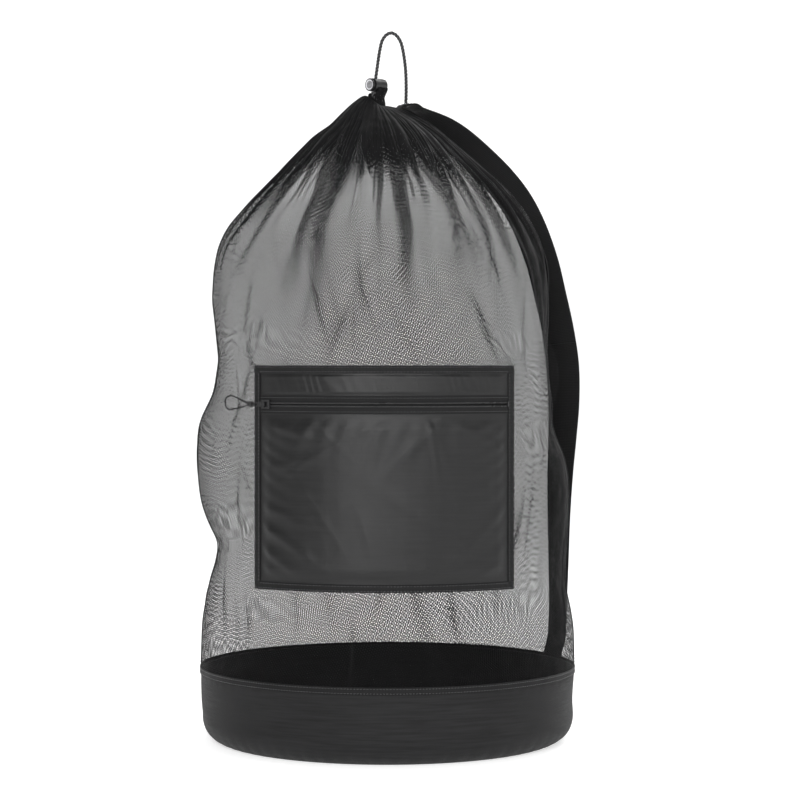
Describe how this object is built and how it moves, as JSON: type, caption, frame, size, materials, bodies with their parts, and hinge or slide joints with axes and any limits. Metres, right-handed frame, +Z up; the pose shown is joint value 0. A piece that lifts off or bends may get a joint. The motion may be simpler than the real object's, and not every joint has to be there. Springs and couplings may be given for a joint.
{
  "type": "mesh ball bag",
  "caption": "Tall round drawstring bag of open net on a solid-cloth base, with a zipped front pocket, a cord lock and a carrying strap.",
  "frame": {"origin": "centre of the base panel's underside, on the surface the bag stands on", "axes": "+Z up along the bag's axis, the pocket faces -Y, and the strap is on the +X side, 25 degrees towards +Y"},
  "size_m": [0.5156, 0.5006, 0.9449],
  "materials": {
    "band_cloth": "matte",
    "pocket_cloth": "satin",
    "mesh": "satin",
    "tape": "matte",
    "webbing": "matte",
    "cord": "matte",
    "lock_plastic": "gloss",
    "button_plastic": "gloss",
    "coil_plastic": "satin",
    "metal": "polished",
    "slider_metal": "gloss"
  },
  "bodies": {
    "bag": {"base_panel": "band_cloth", "base_binding": "tape", "base_band": "band_cloth", "band_binding": "tape", "mesh_front_panel": "mesh", "mesh_back_panel": "mesh", "side_seam_left": "tape", "side_seam_right": "tape", "hem_casing": "mesh", "hem_eyelet": "metal", "strap_eyelet": "metal", "drawcord": "cord", "pocket_backing": "pocket_cloth", "pocket_upper_panel": "pocket_cloth", "pocket_lower_panel": "pocket_cloth", "binding_top": "tape", "binding_bottom": "tape", "binding_left": "tape", "binding_right": "tape", "zip_tape_upper": "tape", "zip_tape_lower": "tape", "zip_coil_upper": "coil_plastic", "zip_coil_lower": "coil_plastic", "zip_stops": "metal", "strap_top_tab": "webbing", "strap_bottom_tab": "webbing"},
    "cord_lock": {"cord_lock_body": "lock_plastic", "cord_lock_spring": "metal"},
    "lock_button": {"cord_lock_button": "button_plastic"},
    "zip_slider": {"zip_slider": "slider_metal"},
    "zip_pull": {"zip_pull_tab": "slider_metal", "zip_pull_bead": "lock_plastic", "zip_pull_cord": "cord"},
    "strap": {"strap_webbing": "webbing"}
  },
  "joints": [
    {"name": "cord_lock_slide", "type": "slide", "parent": "bag", "child": "cord_lock", "axis": [0.139, 0, 0.9903], "range_m": [0, 0.024]},
    {"name": "lock_button_press", "type": "slide", "parent": "cord_lock", "child": "lock_button", "axis": [0.6947, 0.7193, 0], "range_m": [0, 0.0032], "stiffness_N_per_m": 900, "springref_m": -0.004, "deforming": ["cord_lock_spring"]},
    {"name": "zip_slide", "type": "hinge", "parent": "bag", "child": "zip_slider", "pos_m": [0, 0, 0.451], "axis": [0, 0, 1], "range_deg": [0, 73]},
    {"name": "zip_pull_swing", "type": "hinge", "parent": "zip_slider", "child": "zip_pull", "pos_m": [-0.15479, -0.20019, 0.451], "axis": [0, 0, 1], "range_deg": [0, 175]},
    {"name": "strap_swing", "type": "hinge", "parent": "bag", "child": "strap", "pos_m": [0.23337, 0.10882, 0.122], "axis": [-0.2577, -0.1201, 0.9587], "range_deg": [-15, 15]}
  ]
}
